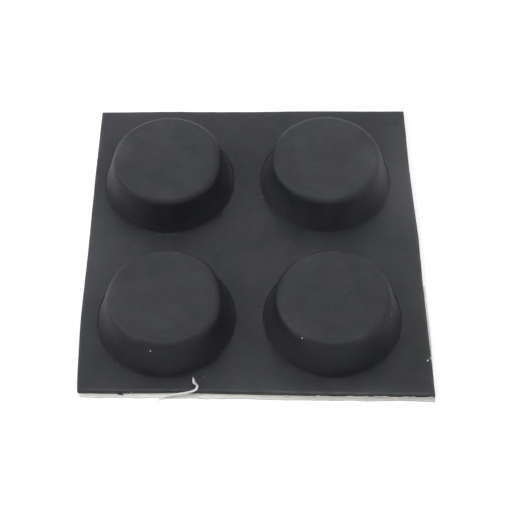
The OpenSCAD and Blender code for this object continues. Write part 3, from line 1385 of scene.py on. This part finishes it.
@dataclass
class FlatLayer:
    """A layer with shaped top edges, round holes and a surface that isn't quite flat.

    Attributes:
        outline: Edge of the layer, anticlockwise.
        bottom: Height of its underside.
        top: Height of its upper side.
        edge: Profile of its outer edge, as distances in and heights over the top.
        rings: Its round holes.
        hole_edge: Profile of the edges of its holes.
        kerf: How much narrower the holes are at the underside.
        waves: How the upper side wanders, if it does.
        facets: Number of points around a hole.
        grid_step: Distance between the points inside.
        crowding: Least gap between those points and an edge, as a part of their distance.
        near_hole: What that gap has on top beside a hole.
    """

    outline: np.ndarray
    bottom: float
    top: float
    edge: Profile
    rings: Sequence[Ring] = ()
    hole_edge: Profile = ()
    kerf: float = 0.0
    waves: Wander | None = None
    facets: int = 160
    grid_step: float = 1.2
    crowding: float = 0.45
    near_hole: float = 0.1

    points: list[tuple[float, float, float]] = field(default_factory=list, init=False)
    faces: list[tuple[int, ...]] = field(default_factory=list, init=False)

    def lift(self, x: float, y: float) -> float:
        """Give how far the upper side lies off its height at a place."""
        return self.waves.at(x, y) if self.waves else 0.0

    def add_loop(self, line: np.ndarray, height: float, share: float) -> list[int]:
        """Add the points of a line.

        Args:
            line: Points of the line.
            height: Height of the line.
            share: How much of the wandering it takes.

        Returns:
            The numbers of the points.
        """
        first = len(self.points)
        self.points.extend((x, y, height + share * self.lift(x, y)) for x, y in line)
        return list(range(first, len(self.points)))

    def add_wall(self, lines: list[list[int]]) -> None:
        """Join neighbouring closed lines with faces.

        Args:
            lines: Numbers of the points of each line, from below to above.
        """
        for lower, upper in zip(lines, lines[1:]):
            count = len(lower)
            for i in range(count):
                j = (i + 1) % count
                self.faces.append((lower[i], lower[j], upper[j], upper[i]))

    def fill(self, outer: list[int], holes: list[list[int]], spots: np.ndarray) -> None:
        """Cover the layer between its edges.

        Args:
            outer: Numbers of the points of the outer edge.
            holes: Numbers of the points of each hole's edge.
            spots: Places and heights of more points inside.
        """
        keep_inside, tolerance = 1, 1e-6
        numbers = [*outer, *(i for hole in holes for i in hole)]
        flat = [Vector(self.points[i][:2]) for i in numbers] + [Vector(spot[:2]) for spot in spots]
        sides = []
        first = 0
        for loop in [outer, *holes]:
            sides.extend((first + i, first + (i + 1) % len(loop)) for i in range(len(loop)))
            first += len(loop)
        found, _, triangles, sources, _, _ = delaunay_2d_cdt(
            flat, sides, [], keep_inside, tolerance
        )
        known: dict[int, int] = {}
        for i, place in enumerate(found):
            source = min(sources[i])
            if source < len(numbers):
                known[i] = numbers[source]
            else:
                known[i] = len(self.points)
                self.points.append((place.x, place.y, spots[source - len(numbers)][2]))
        for triangle in triangles:
            middle = sum((found[i] for i in triangle), Vector((0.0, 0.0))) / len(triangle)
            if all(math.dist(middle, (ring.x, ring.y)) > ring.radius for ring in self.rings):
                self.faces.append(tuple(known[i] for i in triangle))

    def edge_spots(self, closest: float = 0.97, slack: float = 0.001) -> list[tuple[float, ...]]:
        """Give the points of the edge's profile that lie inside the outline.

        Args:
            closest: Least gap to the outline, as a part of the distance in.
            slack: What that gap may lack.

        Returns:
            The points.
        """
        spots = []
        for inset, height in self.edge[1:]:
            for x, y in inside_of(self.outline, inset):
                gap = float(np.min(np.hypot(self.outline[:, 0] - x, self.outline[:, 1] - y)))
                if gap > closest * inset - slack:
                    spots.append((x, y, self.top + height + self.lift(x, y)))
        return spots

    def inner_spots(self) -> list[tuple[float, ...]]:
        """Give a grid of points that lie clear of all edges.

        Returns:
            The points.
        """
        low, high = self.outline.min(axis=0), self.outline.max(axis=0)
        sides = np.roll(self.outline, -1, axis=0) - self.outline
        inward = np.column_stack([-sides[:, 1], sides[:, 0]])
        inward /= np.linalg.norm(inward, axis=1, keepdims=True)
        clear = self.grid_step * self.crowding
        least = self.edge[-1][0] + clear
        spots = []
        for row, y in enumerate(np.arange(low[1], high[1], self.grid_step * math.sqrt(0.75))):
            for x in np.arange(low[0], high[0], self.grid_step) + self.grid_step / 2 * (row % 2):
                gaps = np.linalg.norm(self.outline - (x, y), axis=1)
                nearest = int(np.argmin(gaps))
                depth = float(np.dot((x, y) - self.outline[nearest], inward[nearest]))
                if depth < least or gaps[nearest] < least:
                    continue
                if all(
                    math.dist((x, y), (ring.x, ring.y)) > ring.radius + self.near_hole + clear
                    for ring in self.rings
                ):
                    spots.append((x, y, self.top + self.lift(x, y)))
        return spots

    def build(self, name: str, material: Material) -> Object:
        """Make the layer.

        Args:
            name: Name of the piece.
            material: Finish.

        Returns:
            The piece.
        """
        outer = [
            self.add_loop(self.outline, self.bottom, 0.0),
            self.add_loop(self.outline, self.top + self.edge[0][1], 1.0),
        ]
        self.add_wall(outer)
        holes = []
        for ring in self.rings:
            lines = [self.add_loop(ring.circle(-self.kerf, self.facets), self.bottom, 0.0)]
            lines.extend(
                self.add_loop(ring.circle(inset, self.facets), self.top + height, 1.0)
                for inset, height in self.hole_edge
            )
            self.add_wall(lines)
            holes.append(lines)
        spots = np.array([*self.edge_spots(), *self.inner_spots()])
        self.fill(outer[-1], [lines[-1] for lines in holes], spots)
        self.fill(outer[0], [lines[0] for lines in holes], np.empty((0, 3)))
        return mesh_piece(name, self.points, self.faces, material)


@dataclass(frozen=True)
class Sway(Spot):
    """Stretch of a cut edge that runs a little beside its line.

    Attributes:
        reach: Half its length.
        outward: How far outside the line it runs.
    """

    reach: float
    outward: float


@dataclass
class WebSheet:
    """Thin rubber web that holds the four feet, cut out with a knife.

    Attributes:
        edge: Profile of its knife-cut edge.
        hole_round: Radius of the rounded edges of its holes.
        kerf: How much narrower the holes are at the underside.
        waves: How its upper side wanders.
        knife_step: Distance between the points of the cut.
        wobbles: How the knife wobbles to the right and to the rear.
        sways: Stretches where the knife ran beside its line.
        rim: Bloom and painted highlight beside the cut edge.
    """

    node: str = "web_sheet"
    edge: Profile = (
        (0.0, -0.2), (0.04, -0.09), (0.1, -0.03), (0.17, 0.0), (0.26, 0.01), (0.38, 0.006),
        (0.55, 0.0), (0.85, 0.0),
    )
    hole_round: float = 0.07
    kerf: float = 0.03
    waves: Wander = Wander(0.06, 17.0, 1.0)
    knife_step: float = 0.4
    wobbles: tuple[Wander, ...] = rows(Wander, (0.03, 2.4, 3.0), (0.03, 2.4, 8.0))
    sways: tuple[Sway, ...] = rows(
        Sway,
        (-13, 28, 5, 0.1), (10, 28, 6, 0.1), (-25, -13, 4, 0.1), (-25, 2, 7, -0.08),
        (27, 1, 5, 0.13), (27, 17, 6, -0.12), (-21, -26, 3, 0.05), (-9, -26, 7, -0.2),
        (2, -26, 5, -0.06),
    )
    # Painted highlight along the cut edge, stronger at the front, the right and the rear
    rim: BloomAndHighlightRim = BloomAndHighlightRim(
        inset=0.2,
        width=0.15,
        share=0.15,
        veil=0.17,
        veil_reach=0.8,
        patches=rows(LightAndBloomPatch, (14, -27, 14, 0.8), (27, 3, 12, 0.6), (-4, 28, 24, 0.7)),
    )
    # Patches above zero paint the lighter margins of the web, those below zero paint shade
    # between and beside the feet
    patches: tuple[LightAndBloomPatch, ...] = rows(
        LightAndBloomPatch,
        (27, 12, 7, 0.5), (27, 20, 5, 0.15), (26, -8, 4, 0.1), (-26, 2, 7, 0.16),
        (-26, -6, 6, 0.12), (-20, 28, 7, 0.12), (25, -24, 5, -0.1), (0, 17, 6, -0.08),
        (0, 1, 5, -0.025), (-0.8, -13.5, 3, -0.05),
    )

    def swayed(self, line: np.ndarray) -> np.ndarray:
        """Give the line that the knife really took.

        Args:
            line: Points of the straight-sided edge.

        Returns:
            The moved points.
        """
        outward = line - inside_of(line, 1.0)
        moved = line + [[wobble.at(x, y) for wobble in self.wobbles] for x, y in line]
        for sway in self.sways:
            shares = np.exp(-((sway.gaps(*line.T) / sway.reach) ** 2))
            moved += outward * (sway.outward * shares)[:, None]
        return moved

    def build(self, frame: dict[str, Any], material: Material) -> Object:
        """Make the web.

        Args:
            frame: The loaded frame.
            material: Rubber.

        Returns:
            The piece.
        """
        low, high = box_mm(self.node)
        outline, *holes = top_loops(frame, self.node)
        rings = []
        for hole in holes:
            x, y = (hole.min(axis=0) + hole.max(axis=0)) / 2
            rings.append(Ring(float(x), float(y), float(np.ptp(hole[:, 0])) / 2))
        cut = self.swayed(evenly(outline, self.knife_step))
        hole_edge = rounded(self.hole_round)
        layer = FlatLayer(cut, low[2], high[2], self.edge, rings, hole_edge, self.kerf, self.waves)
        piece = layer.build("rubber_web", material)
        lay_bloom_and_light(piece, self.patches, self.rim, cut)
        enlist(piece, Slot.WEB, self.node)
        return piece


@dataclass
class ReleaseLiner:
    """Paper that the adhesive peels off, with a soft, torn edge.

    Attributes:
        edge_round: Radius of its rounded edge.
        fibre_step: Distance between the points of the edge.
        grid_step: Distance between the points inside.
        frays: How the edge frays to the right and to the rear.
        tear: How the torn edge swings to the rear on top.
        grey_tinge: Patches where the paper is greyer, along its front edge.
    """

    node: str = "release_liner"
    edge_round: float = 0.03
    fibre_step: float = 0.22
    grid_step: float = 2.4
    frays: tuple[Wander, Wander] = (Wander(0.06, 0.9, 5.0), Wander(0.06, 0.5, 6.0))
    tear: Wander = Wander(0.13, 2.6, 7.0)
    grey_tinge: tuple[LightAndBloomPatch, ...] = rows(
        LightAndBloomPatch, (24, -27, 8, 0.55), (11, -27, 7, 0.45), (0, -26.5, 5, 0.2), (-22, -26, 5, 0.15)
    )

    def build(self, frame: dict[str, Any], material: Material) -> Object:
        """Make the liner.

        Args:
            frame: The loaded frame.
            material: Paper.

        Returns:
            The piece.
        """
        low, high = box_mm(self.node)
        outline = evenly(top_loops(frame, self.node)[0], self.fibre_step)
        across, along = self.frays
        outline += [[across.at(x, y), along.at(x, y) + self.tear.at(x, y)] for x, y in outline]
        edge = rounded(self.edge_round)
        layer = FlatLayer(outline, low[2], high[2], edge, grid_step=self.grid_step)
        piece = layer.build("paper_liner", material)
        lay_bloom_and_light(piece, self.grey_tinge)
        enlist(piece, Slot.PAPER, self.node)
        return piece


# ---------------------------------------------------------------- ribbons and films


@dataclass(frozen=True)
class RoutePoint(Spot):
    """Point on the route of a ribbon.

    Attributes:
        z: Height above the surface that the sheet lies on.
        swell: Width as a share of the ribbon's width.
        tilt: Twist about its own line, in degrees.
    """

    z: float
    swell: float
    tilt: float = 0.0


@dataclass(frozen=True)
class Ribbon:
    """Flat strand with frayed edges.

    Attributes:
        fraying: How far it frays.
        steps: Number of sections along it.
        seed: Seed of the fraying.
    """

    width: float
    thickness: float
    fraying: float
    steps: int
    seed: float

    def sweep(
        self, name: str, rule: ShapeRule, route: Sequence[RoutePoint], material: Material
    ) -> Object:
        """Sweep the ribbon along a route.

        Args:
            name: Name of the piece.
            rule: Rule that sweeps a ribbon.
            route: The route.
            material: Finish.

        Returns:
            The piece.
        """
        curve = bpy.data.curves.new(name + "_route", "CURVE")
        curve.dimensions = "3D"
        spline = curve.splines.new("POLY")
        spline.points.add(len(route) - 1)
        for point, stop in zip(spline.points, route):
            point.co = (stop.x * MM, stop.y * MM, stop.z * MM, 1.0)
            point.radius = stop.swell
            point.tilt = math.radians(stop.tilt)
        lengths = {"Width": self.width, "Thickness": self.thickness, "Fraying": self.fraying}
        return rule.run(name, curve, material, lengths, {"Steps": self.steps, "Seed": self.seed})


@dataclass
class EdgeSliver:
    """Thin sliver of liner that is torn off the front edge and curls up over the web.

    Attributes:
        ribbon: Its section.
        route: Its route, from the node's low corner.
    """

    node: str = "edge_sliver"
    ribbon: Ribbon = Ribbon(width=0.34, thickness=0.15, fraying=0.06, steps=90, seed=4.0)
    route: tuple[RoutePoint, ...] = rows(
        RoutePoint,
        (0.04, 0.09, 0.08, 0.4), (0.46, 0.21, 0.25, 0.75), (1.21, 0.51, 0.39, 0.9, -10),
        (2.74, 0.69, 0.78, 0.95, -20), (4.28, 0.75, 1.07, 1.0, -10), (5.35, 1.0, 1.16, 1.0),
        (5.8, 1.27, 1.24, 1.05, 5), (5.93, 1.58, 1.38, 1.1, 15), (5.85, 1.82, 1.57, 1.3, 30),
        (5.55, 1.97, 1.8, 2.1, 45), (5.42, 2.22, 2.1, 1.8, 55), (5.32, 2.6, 2.52, 0.15, 60),
    )

    def build(self, rule: ShapeRule, material: Material) -> Object:
        """Sweep the sliver.

        Args:
            rule: Rule that sweeps a ribbon.
            material: Paper.

        Returns:
            The piece.
        """
        low, _ = box_mm(self.node)
        route = [replace(stop, x=low[0] + stop.x, y=low[1] + stop.y) for stop in self.route]
        piece = self.ribbon.sweep("paper_sliver", rule, route, material)
        enlist(piece, Slot.PAPER, self.node)
        return piece


@dataclass
class SqueezedAdhesive:
    """Beads of adhesive that the knife has squeezed out under the web's front edge.

    Attributes:
        ribbon: Their section.
        step: Distance between the points of their route.
        outside: How far in front of the edge they lie.
        level: Height of their middle.
        drift: How they wander along the edge.
        swell: Their usual width as a share of the ribbon's width.
        least_swell: Their least width.
        swelling: How the width comes and goes.
    """

    ribbon: Ribbon = Ribbon(width=0.3, thickness=0.2, fraying=0.16, steps=260, seed=9.0)
    start: float = 7.5
    stop: float = 27.2
    step: float = 0.45
    outside: float = 0.14
    level: float = 0.24
    drift: Wander = Wander(0.06, 0.9, 11.0)
    swell: float = 0.65
    least_swell: float = 0.1
    swelling: Wander = Wander(1.5, 1.1, 12.0)

    def build(self, rule: ShapeRule, frame: dict[str, Any], material: Material) -> Object:
        """Sweep the beads along the edge.

        Args:
            rule: Rule that sweeps a ribbon.
            frame: The loaded frame.
            material: Adhesive.

        Returns:
            The piece.
        """
        front = front_edge(frame)
        route = []
        for x in np.arange(self.start, self.stop, self.step):
            y = front(x) - self.outside
            swell = max(self.least_swell, self.swell + self.swelling.at(x, y))
            route.append(RoutePoint(x, y + self.drift.at(x, y), self.level, swell))
        piece = self.ribbon.sweep("squeezed_adhesive", rule, route, material)
        enlist(piece, Slot.ADHESIVE)
        return piece


@dataclass
class AdhesiveLayers:
    """Films of adhesive under the web and the feet, which keep their exact solids."""

    web_node: str = "web_adhesive"

    def dress(self, frame: dict[str, Any], material: Material) -> None:
        """Give every film its finish.

        Args:
            frame: The loaded frame.
            material: Adhesive.
        """
        for name in [self.web_node, *(f"adhesive_{place.value}" for place in Place)]:
            for slot in frame["nodes"][name].material_slots:
                slot.material = material
            LOG.info("%s: kept, with %s", name, material.name)


# ---------------------------------------------------------------- dust, crumbs and painted glints


@dataclass
class DustGrains:
    """Dust that lies on the web and on the feet.

    Attributes:
        per_m2: Grains on a square metre.
        least_slope: How far a face must look up to hold dust, as the rise of its normal.
    """

    per_m2: float = 70000.0
    smallest: float = 0.05
    largest: float = 0.17
    least_slope: float = 0.15

    def build(self, rule: ShapeRule, surface: Object, seed: int, material: Material) -> Object:
        """Scatter the dust on a piece.

        Args:
            rule: Rule that scatters grains.
            surface: Piece that the dust lies on.
            seed: Seed of the scatter.
            material: Dust.

        Returns:
            The piece.
        """
        lengths = {"Smallest": self.smallest, "Largest": self.largest}
        plain = {"Grains Per Area": self.per_m2, "Least Slope": self.least_slope, "Seed": seed}
        base = surface.data.copy()
        piece = rule.run(f"dust_on_{surface.name}", base, material, lengths, plain)
        enlist(piece, Slot.PAPER)
        return piece


@dataclass(frozen=True)
class Bit(Spot):
    """One stray bit that lies on the rubber.

    Attributes:
        height: Height of its middle over the web.
        depth: Its thickness.
        turn: Direction of its length in degrees, from the right towards the rear.
        tip: How far its length rises towards that direction, in degrees.
    """

    height: float
    length: float
    width: float
    depth: float
    turn: float = 0.0
    tip: float = 0.0


PALE_CRUMBS = rows(
    Bit,
    (-14.29, -21.89, 4.98, 0.22, 0.2, 0.12, 20, 60), (7.95, -20.47, 5.96, 0.13, 0.28, 0.12),
    (26.9, -20.95, 0.0, 0.34, 0.22, 0.14, 60), (27.15, -20.1, -0.1, 0.22, 0.16, 0.14, 60),
    (-17.28, -25.84, -0.3, 0.16, 0.1, 0.08),
)
# Dull bits: dust and scuffs, and bits whose pale colour paints glints on the feet's walls and
# rims and a glint line beside a ring
DULL_CRUMBS_AND_GLINTS = rows(
    Bit,
    (22.0, -13.2, 4.4, 1.4, 0.09, 0.06, 95), (21.92, -14.6, 4.62, 0.18, 0.34, 0.1, 0, 20),
    (21.3, -16.2, 5.4, 0.6, 0.11, 0.07, -75, -30), (20.5, -16.2, 5.85, 0.55, 0.1, 0.07, -75, -20),
    (20.5, -15.9, 6.05, 0.5, 0.07, 0.06, -60), (2.24, -11.71, 0.02, 0.22, 0.12, 0.06, 60),
    (16.2, -20.4, 5.95, 0.5, 0.12, 0.06, 30), (-10.8, -25.7, 0.0, 0.8, 0.12, 0.06, 3),
    (-6.6, -23.5, 0.02, 0.5, 0.1, 0.05, -50), (-5.2, -8.6, 0.02, 0.6, 0.07, 0.05, 70),
    (14.6, -12.6, 6.21, 0.35, 0.06, 0.03, 20), (-14.1, 2.55, 0.03, 1.1, 0.07, 0.05, -8),
    (-11.7, 2.5, 0.03, 0.9, 0.07, 0.05, 5), (-19.5, -21.25, 0.03, 0.9, 0.06, 0.05, -41),
    (2.5, 9.8, 0.03, 0.8, 0.06, 0.05, -72), (2.1, 11.2, 0.03, 0.4, 0.08, 0.05, -80),
)
DARK_CRUMBS = rows(
    Bit,
    (-18.9, -25.98, -0.62, 1.0, 0.16, 0.14, -8), (-6.25, -21.61, 0.06, 0.35, 0.25, 0.14, 30),
    (10.64, 12.49, 6.21, 0.35, 0.22, 0.05, 10), (9.5, -18.0, 6.2, 0.5, 0.1, 0.04),
    (11.6, -18.1, 6.2, 0.4, 0.1, 0.04, 10), (13.3, -11.8, 6.2, 0.12, 0.3, 0.04, 10),
)


@dataclass
class EdgeCrumbs:
    """Torn crumbs that stick to the foot of the web's front edge.

    Attributes:
        spots: Place to the right and length of each crumb.
        outside: How far they lie in front of the edge.
        fall: How far they lie under the web's upper side.
        lift: How much higher each of the next two in turn lies.
        turn: How far every second one is turned, in degrees.
        depth: Their thickness.
    """

    spots: tuple[tuple[float, float], ...] = (
        (5.6, 0.7), (10.3, 0.7), (15.0, 1.2), (17.4, 0.8), (19.0, 1.1), (20.1, 1.4),
        (23.2, 1.5), (24.3, 0.9), (27.0, 0.8),
    )
    outside: float = 0.1
    fall: float = 0.6
    lift: float = 0.03
    turn: float = 3.0
    width: float = 0.22
    depth: float = 0.2

    def bits(self, frame: dict[str, Any]) -> tuple[Bit, ...]:
        """Lay the crumbs along the edge.

        Args:
            frame: The loaded frame.

        Returns:
            The crumbs.
        """
        front = front_edge(frame)
        crumbs = []
        for number, (x, length) in enumerate(self.spots):
            height = self.lift * (number % 3) - self.fall
            sizes = (length, self.width, self.depth)
            turn = self.turn * (number % 2)
            crumbs.append(Bit(x, front(x) - self.outside, height, *sizes, turn))
        return tuple(crumbs)


@dataclass
class RimGlints:
    """Pale bits on the rear of the top edges of the rear feet, which paint glints of those edges.

    Attributes:
        directions: Directions of the glints on each foot, in degrees.
        inset: How far they lie inside the line where taper and top would meet.
        fall: How far they lie under the top.
        length: Length of the shortest, and what each of the next two in turn has on top.
        depth: Their thickness.
    """

    directions: dict[Place, tuple[int, ...]] = field(
        default_factory=lambda: {
            Place.REAR_LEFT: (36, 50, 59, 62, 71, 86, 92, 109, 129, 132, 147, 160),
            Place.REAR_RIGHT: (4, 31, 33, 45, 66, 84, 101, 118, 122, 138, 146),
        }
    )
    inset: float = 0.42
    fall: float = 0.13
    length: float = 0.25
    width: float = 0.1
    depth: float = 0.06

    def bits(self) -> tuple[Bit, ...]:
        """Lay the glints around the rims.

        Returns:
            The glints.
        """
        _, web_high = box_mm("web_sheet")
        reach = RubberFoot.top_d / 2 - self.inset
        glints = []
        for place, directions in self.directions.items():
            low, high = box_mm(f"foot_{place.value}")
            x, y, _ = (low + high) / 2
            height = high[2] - web_high[2] - self.fall
            for number, direction in enumerate(directions):
                angle = math.radians(direction)
                spot = (x + reach * math.cos(angle), y + reach * math.sin(angle), height)
                length = self.length + self.length * (number % 3)
                sizes = (length, self.width, self.depth)
                glints.append(Bit(*map(float, spot), *sizes, direction + 90.0))
        return tuple(glints)


@dataclass
class StrayBits:
    """Lumpy bits, each laid down in its own place.

    Attributes:
        name: Name of the piece.
        bits: The bits.
        slot: Material slot that they belong to.
        node: Node whose top their heights start from.
        lumps: How lumpy they are.
        lump_scale: How many lumps go on a bit.
        spread: Distance between the bits in the noise that shapes them.
        fineness: How often their faces are divided.
    """

    name: str
    bits: tuple[Bit, ...]
    slot: Slot = Slot.PAPER
    node: str = "web_sheet"
    lumps: float = 0.35
    lump_scale: float = 3.1
    spread: float = 7.0
    fineness: int = 3

    def build(self, material: Material) -> Object:
        """Make the bits.

        Args:
            material: Finish.

        Returns:
            The piece.
        """
        _, high = box_mm(self.node)
        shape = bmesh.new()
        for number, bit in enumerate(self.bits):
            place = Matrix.Translation((bit.x * MM, bit.y * MM, (high[2] + bit.height) * MM))
            place = place @ Matrix.Rotation(math.radians(bit.turn), 4, "Z")
            place = place @ Matrix.Rotation(math.radians(-bit.tip), 4, "Y")
            sizes = (bit.length * MM, bit.width * MM, bit.depth * MM, 1.0)
            place = place @ Matrix.Diagonal(sizes)
            shift = Vector((self.spread * number, 0.0, 0.0))
            ball = bmesh.ops.create_icosphere(shape, subdivisions=self.fineness, radius=0.5)
            for vertex in ball["verts"]:
                lump = self.lumps * noise.noise(vertex.co * self.lump_scale + shift)
                vertex.co = place @ (vertex.co * (1 + lump))
        piece = finished(self.name, bpy.data.meshes.new(self.name), shape, material)
        enlist(piece, self.slot)
        return piece


# ---------------------------------------------------------------- studio


@dataclass(frozen=True)
class SoftBox:
    """Square lamp with an even, soft face.

    Attributes:
        name: Name of the lamp.
        azimuth: Direction from the sheet in degrees, from the right towards the rear.
        elevation: Height over the floor in degrees.
        radiance: Brightness of its face, where one is the brightness of a white floor.
    """

    name: str
    azimuth: float
    elevation: float
    radiance: float
    distance: float = 900.0
    side: float = 500.0

    def add(self) -> None:
        """Hang the lamp."""
        lamp = bpy.data.lights.new(self.name, "AREA")
        lamp.shape = "SQUARE"
        lamp.size = self.side * MM
        lamp.energy = self.radiance * math.pi * (self.side * MM) ** 2
        around, up = math.radians(self.azimuth), math.radians(self.elevation)
        level = math.cos(up)
        away = Vector((math.cos(around) * level, math.sin(around) * level, math.sin(up)))
        holder = put(self.name, lamp)
        holder.location = away * self.distance * MM
        holder.rotation_euler = away.to_track_quat("Z", "Y").to_euler()


@dataclass
class Studio:
    """Floor, sky and lamps.

    Attributes:
        ambient: Brightness of the light from all round.
        floor_drop: Gap between the sheet and the floor.
    """

    ambient: float = 0.27
    floor_side: float = 4000.0
    floor_drop: float = 0.02
    lamps: tuple[SoftBox, ...] = rows(
        SoftBox,
        ("top_softbox", 0, 90, 3.1), ("left_softbox", 180, 40, 4.0),
        ("rear_softbox", 90, 40, 1.4), ("right_softbox", 0, 40, 1.1),
    )

    def add_floor(self, material: Material) -> None:
        """Lay the floor just under the sheet.

        Args:
            material: Board.
        """
        half, height = self.floor_side / 2 * MM, -self.floor_drop * MM
        corners = [(-half, -half, height), (half, -half, height), (half, half, height)]
        mesh = bpy.data.meshes.new("studio_floor")
        mesh.from_pydata([*corners, (-half, half, height)], [], [(0, 1, 2, 3)])
        mesh.materials.append(material)
        floor = put("studio_floor", mesh)

    def add_sky(self) -> None:
        """Light the sheet evenly from all round, behind a white backdrop."""
        world = bpy.data.worlds.new("studio_sky")
        world.use_nodes = True
        world.node_tree.nodes.clear()
        add = partial(add_node, world.node_tree)
        seen = {"Value": seen_directly(add), "To Min": self.ambient}
        glow = {"Color": linear("#ffffff"), "Strength": add("ShaderNodeMapRange", seen)}
        add("ShaderNodeOutputWorld", {"Surface": add("ShaderNodeBackground", glow)})
        bpy.context.scene.world = world

    def build(self, material: Material) -> None:
        """Set up the studio.

        Args:
            material: Board of the floor.
        """
        self.add_floor(material)
        self.add_sky()
        for lamp in self.lamps:
            lamp.add()
        bpy.context.scene.view_settings.view_transform = "Standard"


@dataclass
class Viewpoint:
    """Camera that looks down at the sheet from the front.

    Attributes:
        aim: Place that it looks at, to the right and to the rear.
        distance: Distance from that place.
        elevation: Height over that place in degrees.
        heading: Turn of its view to the right, in degrees.
        roll: Turn about its view, in degrees.
        lens: Focal length.
        sensor: Width of its sensor.
        nearest: Nearest distance that it sees.
    """

    aim: tuple[float, float] = (1.327, -1.752)
    distance: float = 220.46
    elevation: float = 55.592
    heading: float = 0.423
    roll: float = -0.065
    lens: float = 98.42
    sensor: float = 36.0
    nearest: float = 10.0

    def add(self, height: float) -> None:
        """Place the camera.

        Args:
            height: Height of the point that it looks at.
        """
        down, aside = math.radians(self.elevation), math.radians(self.heading)
        level = math.cos(down)
        forward = Vector((math.sin(aside) * level, math.cos(aside) * level, -math.sin(down)))
        right = Vector((math.cos(aside), -math.sin(aside), 0.0))
        right = Matrix.Rotation(math.radians(-self.roll), 3, forward) @ right
        up = right.cross(forward)
        data = bpy.data.cameras.new("front_camera")
        data.lens = self.lens
        data.sensor_width = self.sensor
        data.clip_start = self.nearest * MM
        camera = put("front_camera", data)
        place = (Vector((*self.aim, height)) - forward * self.distance) * MM
        turn = Matrix((right, up, -forward)).transposed().to_4x4()
        camera.matrix_world = Matrix.Translation(place) @ turn
        bpy.context.scene.camera = camera


def main() -> None:
    """Build every piece around the frame."""
    logging.basicConfig(level=logging.INFO, format="%(message)s")
    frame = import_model()
    palette = Palette()
    _, web_high = box_mm("web_sheet")
    Viewpoint().add(web_high[2])
    Studio().build(palette.board)

    turning = foot_rule()
    feet = [foot.build(turning, palette.foot) for foot in FEET]
    web = WebSheet().build(frame, palette.web)
    AdhesiveLayers().dress(frame, palette.adhesive)
    ReleaseLiner().build(frame, palette.paper)
    sweeping = ribbon_rule()
    EdgeSliver().build(sweeping, palette.paper)
    SqueezedAdhesive().build(sweeping, frame, palette.adhesive)

    scatter = dust_rule()
    for number, surface in enumerate([web, *feet], start=1):
        DustGrains().build(scatter, surface, number, palette.dust)
    StrayBits("pale_crumbs", (*PALE_CRUMBS, *EdgeCrumbs().bits(frame))).build(palette.crumb)
    # Dull crumbs, with the pale bits that paint glints on the rims and walls
    StrayBits("dull_crumbs_and_glints", (*DULL_CRUMBS_AND_GLINTS, *RimGlints().bits())).build(palette.dust)
    StrayBits("dark_crumbs", DARK_CRUMBS, Slot.WEB).build(palette.web)


if __name__ == "__main__":
    main()
